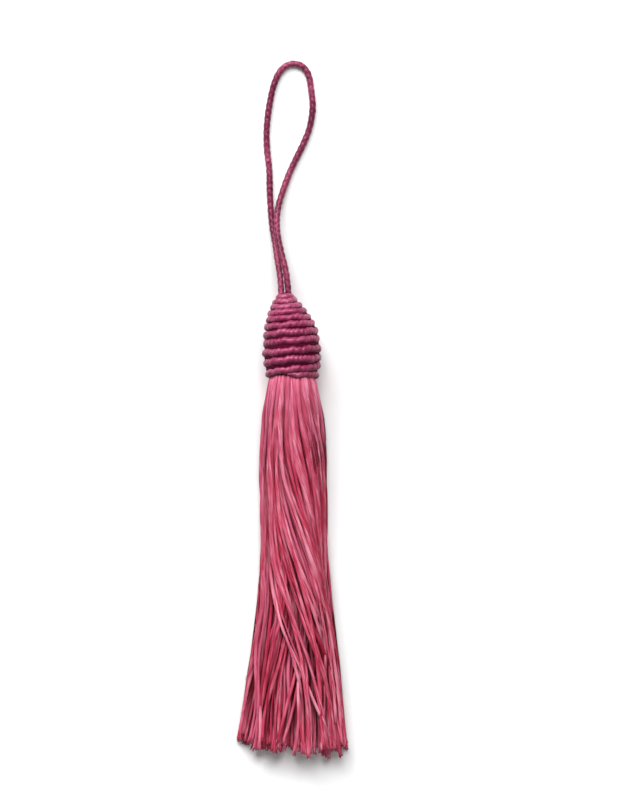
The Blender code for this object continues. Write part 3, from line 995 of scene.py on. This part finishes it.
def ribbon_angles(rng, along, home):
    """How far each yarn's section is turned: it lies flat and soft, and here and there turns on its edge."""
    tilt = 0.45 * wander(rng, along, (70.0, 34.0), THREADS) * smoothstep(along, 3, 25)
    turning = rng.uniform(-1, 1, (THREADS, 1)) * (rng.random((THREADS, 1)) < TURNING_SHARE)
    turned = soft_ramp(along, rng.uniform(8, 50, (THREADS, 1)), SKIRT_LENGTH, 4.0)
    tilt = tilt + math.pi * turning * turned
    roundness = 1 - smoothstep(along, 4, 22)
    outward = np.arctan2(home.across, home.up)[:, None]
    return -outward * roundness * np.hypot(home.across, home.up)[:, None] + tilt


def ribbon_outline(angles):
    at = 2 * math.pi * np.arange(THREAD_SIDES) / THREAD_SIDES - angles[..., None]
    wide, high = math.sqrt(RIBBON_ASPECT), 1 / math.sqrt(RIBBON_ASPECT)
    return wide * high / np.hypot(high * np.cos(at), wide * np.sin(at))


def thread_tones(rng, along, plan):
    """The tone of every yarn, and how far it is mixed towards the pale colour along its length: faded yarns,
    and painted sheen near the binding.
    """
    tone = np.clip(0.52 + rng.normal(0, 0.15, LOCKS)[plan.lock] + rng.normal(0, 0.11, THREADS), -0.1, 1.1)
    faded_and_sheen = np.clip(rng.normal(-0.2, 0.25, LOCKS)[plan.lock] + rng.normal(0, 0.1, THREADS), 0, 0.35)
    # Painted sheen: near the binding, where they are combed straight, the yarns are painted paler.
    painted_sheen = 0.29 + 0.2 * wander(rng, NECK_HALF_WIDTH * plan.home.across, (3.6, 1.7))
    return tone, faded_and_sheen[:, None] + painted_sheen[:, None] * (1 - smoothstep(along, 0, 30))


def add_fibres(name, centres, radii, tones, floor):
    radii = np.broadcast_to(radii, centres.shape[:2])
    fibres = strand_mesh(name, centres, radii, np.ones((*radii.shape, FIBRE_SIDES)), tones, floor)
    dress(fibres, skirt_material, "skirt")


def fray(rng, centres, thick, tone, faded_and_sheen, painted_shade_along):
    """The fibres of every yarn that spread a little at its cut end."""
    share = np.linspace(0, 1, FRAY_RINGS)
    line = np.linspace(-FRAY_LENGTH, FRAY_PAST, FRAY_RINGS)
    heading = unit(centres[:, -1] - centres[:, -4])
    centre = centres[:, -1][:, None, :] + heading[:, None, :] * line[None, :, None]
    centre = np.repeat(centre, FRAY_FIBRES, axis=0)
    count = len(centre)
    shift = rng.uniform(-0.5, 0.3, (count, 1))
    centre[..., 1] -= shift * share
    turn = 2 * math.pi * (np.arange(count) / FRAY_FIBRES + rng.uniform(-0.15, 0.15, count))
    spread = thick[:, -4].repeat(FRAY_FIBRES)[:, None] * (0.45 + 0.5 * share ** 2)
    spread = spread * rng.uniform(0.7, 1.3, (count, 1))
    centre[..., 0] += 1.2 * spread * np.cos(turn)[:, None]
    centre[..., 2] = np.maximum(centre[..., 2] + 0.8 * spread * np.sin(turn)[:, None], FRAY_RADIUS)
    radii = FRAY_RADIUS * rng.uniform(0.8, 1.25, (count, 1))
    tones = {
        "tone": np.clip(tone.repeat(FRAY_FIBRES) + rng.normal(0, 0.12, count), 0, 1),
        "faded_and_sheen": faded_and_sheen.repeat(FRAY_FIBRES),
        "painted_shade": painted_shade_along.repeat(FRAY_FIBRES),
    }
    add_fibres("skirt_cut_ends", centre, radii, tones, floor=0.01)


def add_loose_fibres(rng, centres, thick, order):
    """Single fibres that stand off the skirt here and there."""
    share = np.linspace(0, 1, LOOSE_FIBRE_RINGS)
    upper = np.argsort(order)[THREADS // 3:]
    chosen = rng.choice(upper, LOOSE_FIBRES)
    first = rng.uniform(3, THREAD_RINGS * 0.8, LOOSE_FIBRES)
    reach = rng.uniform(5, 13, LOOSE_FIBRES)
    lines = np.zeros((LOOSE_FIBRES, LOOSE_FIBRE_RINGS, 3))
    for one, (thread, start, length) in enumerate(zip(chosen, first, reach)):
        at = np.clip(start + length * share, 0, THREAD_RINGS - 1)
        for axis in range(3):
            lines[one, :, axis] = np.interp(at, np.arange(THREAD_RINGS), centres[thread, :, axis])
        lines[one, :, 2] += thick[thread, int(start)] * 0.8
    side = rng.normal(0, 0.6, (LOOSE_FIBRES, 1))
    lift = rng.uniform(0.1, 0.8, (LOOSE_FIBRES, 1))
    lines[..., 0] += side * share ** 2 + 0.12 * wander(rng, share * 20, (9.0, 5.0), LOOSE_FIBRES)
    lines[..., 2] += lift * np.sin(math.pi * share * 0.8)
    radii = LOOSE_FIBRE_RADIUS * rng.uniform(0.7, 1.3, (LOOSE_FIBRES, 1))
    tones = {"tone": rng.uniform(0.4, 0.9, LOOSE_FIBRES), "faded_and_sheen": rng.uniform(0, 0.5, LOOSE_FIBRES)}
    add_fibres("skirt_loose_fibres", lines, radii, tones, floor=0.02)


def make_skirt():
    rng = np.random.default_rng(SEED + 2)
    downs = np.linspace(SKIRT_SECTIONS[0].down, SKIRT_SECTIONS[-1].down, STATIONS)
    radius = THREAD_RADIUS * rng.uniform(0.86, 1.12, THREADS)
    plan = plan_threads(rng, downs)
    heap, x, z = lay_threads(plan, downs, radius)
    painted_shade = shade_depths(heap, x, z, downs, radius)
    centres, painted_shade_along = thread_lines(plan, downs, x, settled(heap, x, z, downs, radius), painted_shade)

    # Packed close at the neck, the yarns swell into each other, and their cut ends spread.
    share = np.linspace(0, 1, THREAD_RINGS)
    along = share * SKIRT_LENGTH
    swelling = 1 + NECK_SWELLING * (1 - smoothstep(along, 1, 34))
    thick = radius[:, None] * swelling * (1 + END_SWELLING * smoothstep(share, 0.965, 0.995))
    thick[:, -1] *= 0.9
    angles = ribbon_angles(rng, along, plan.home)
    outline = ribbon_outline(angles)
    thick = thick * (1 + 0.08 * wander(rng, along, (34.0, 16.0), THREADS))
    tone, faded_and_sheen = thread_tones(rng, along, plan)
    fray(rng, centres, thick, tone, faded_and_sheen[:, -1], painted_shade_along[:, -1])
    add_loose_fibres(rng, centres, thick, plan.order)

    twist = angles / (2 * math.pi) + 0.25
    tiers = np.array_split(np.argsort(plan.order), 3)
    for name, tier in zip(("skirt_yarns_under", "skirt_yarns_middle", "skirt_yarns_top"), tiers):
        tones = {"tone": tone[tier], "faded_and_sheen": faded_and_sheen[tier], "twist": twist[tier], "painted_shade": painted_shade_along[tier]}
        yarns = strand_mesh(name, centres[tier], thick[tier], outline[tier], tones, floor=0.0)
        dress(yarns, skirt_material, "skirt")


make_camera()
make_floor()
make_room()
for light in STUDIO_LIGHTS:
    make_light(*light)
make_loop()
make_wound_cord()
make_head_core()
make_skirt()
bpy.context.scene.view_settings.view_transform = "Standard"
